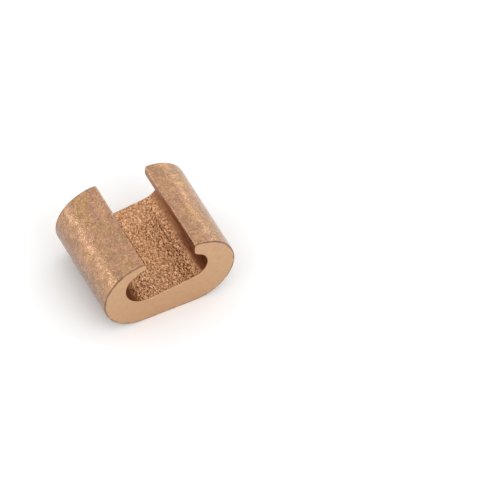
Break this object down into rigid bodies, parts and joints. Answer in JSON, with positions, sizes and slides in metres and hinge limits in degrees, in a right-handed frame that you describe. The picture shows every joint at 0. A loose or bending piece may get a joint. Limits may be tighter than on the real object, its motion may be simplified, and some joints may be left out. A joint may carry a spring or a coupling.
{
  "type": "c-tap connector",
  "caption": "C-shaped copper compression connector with a large run-wire groove, a smaller tap-wire groove and a mouth between a thin and a thick lip.",
  "frame": {"origin": "middle of the flat back, under the centre of the body", "axes": "+X across the C from the run groove to the tap groove, +Y along the wires, +Z out through the mouth"},
  "size_m": [0.024, 0.0186, 0.0147],
  "materials": {
    "copper": "satin, drawn outside and sawn ends"
  },
  "bodies": {
    "root": {"connector_body": "copper"}
  },
  "joints": []
}
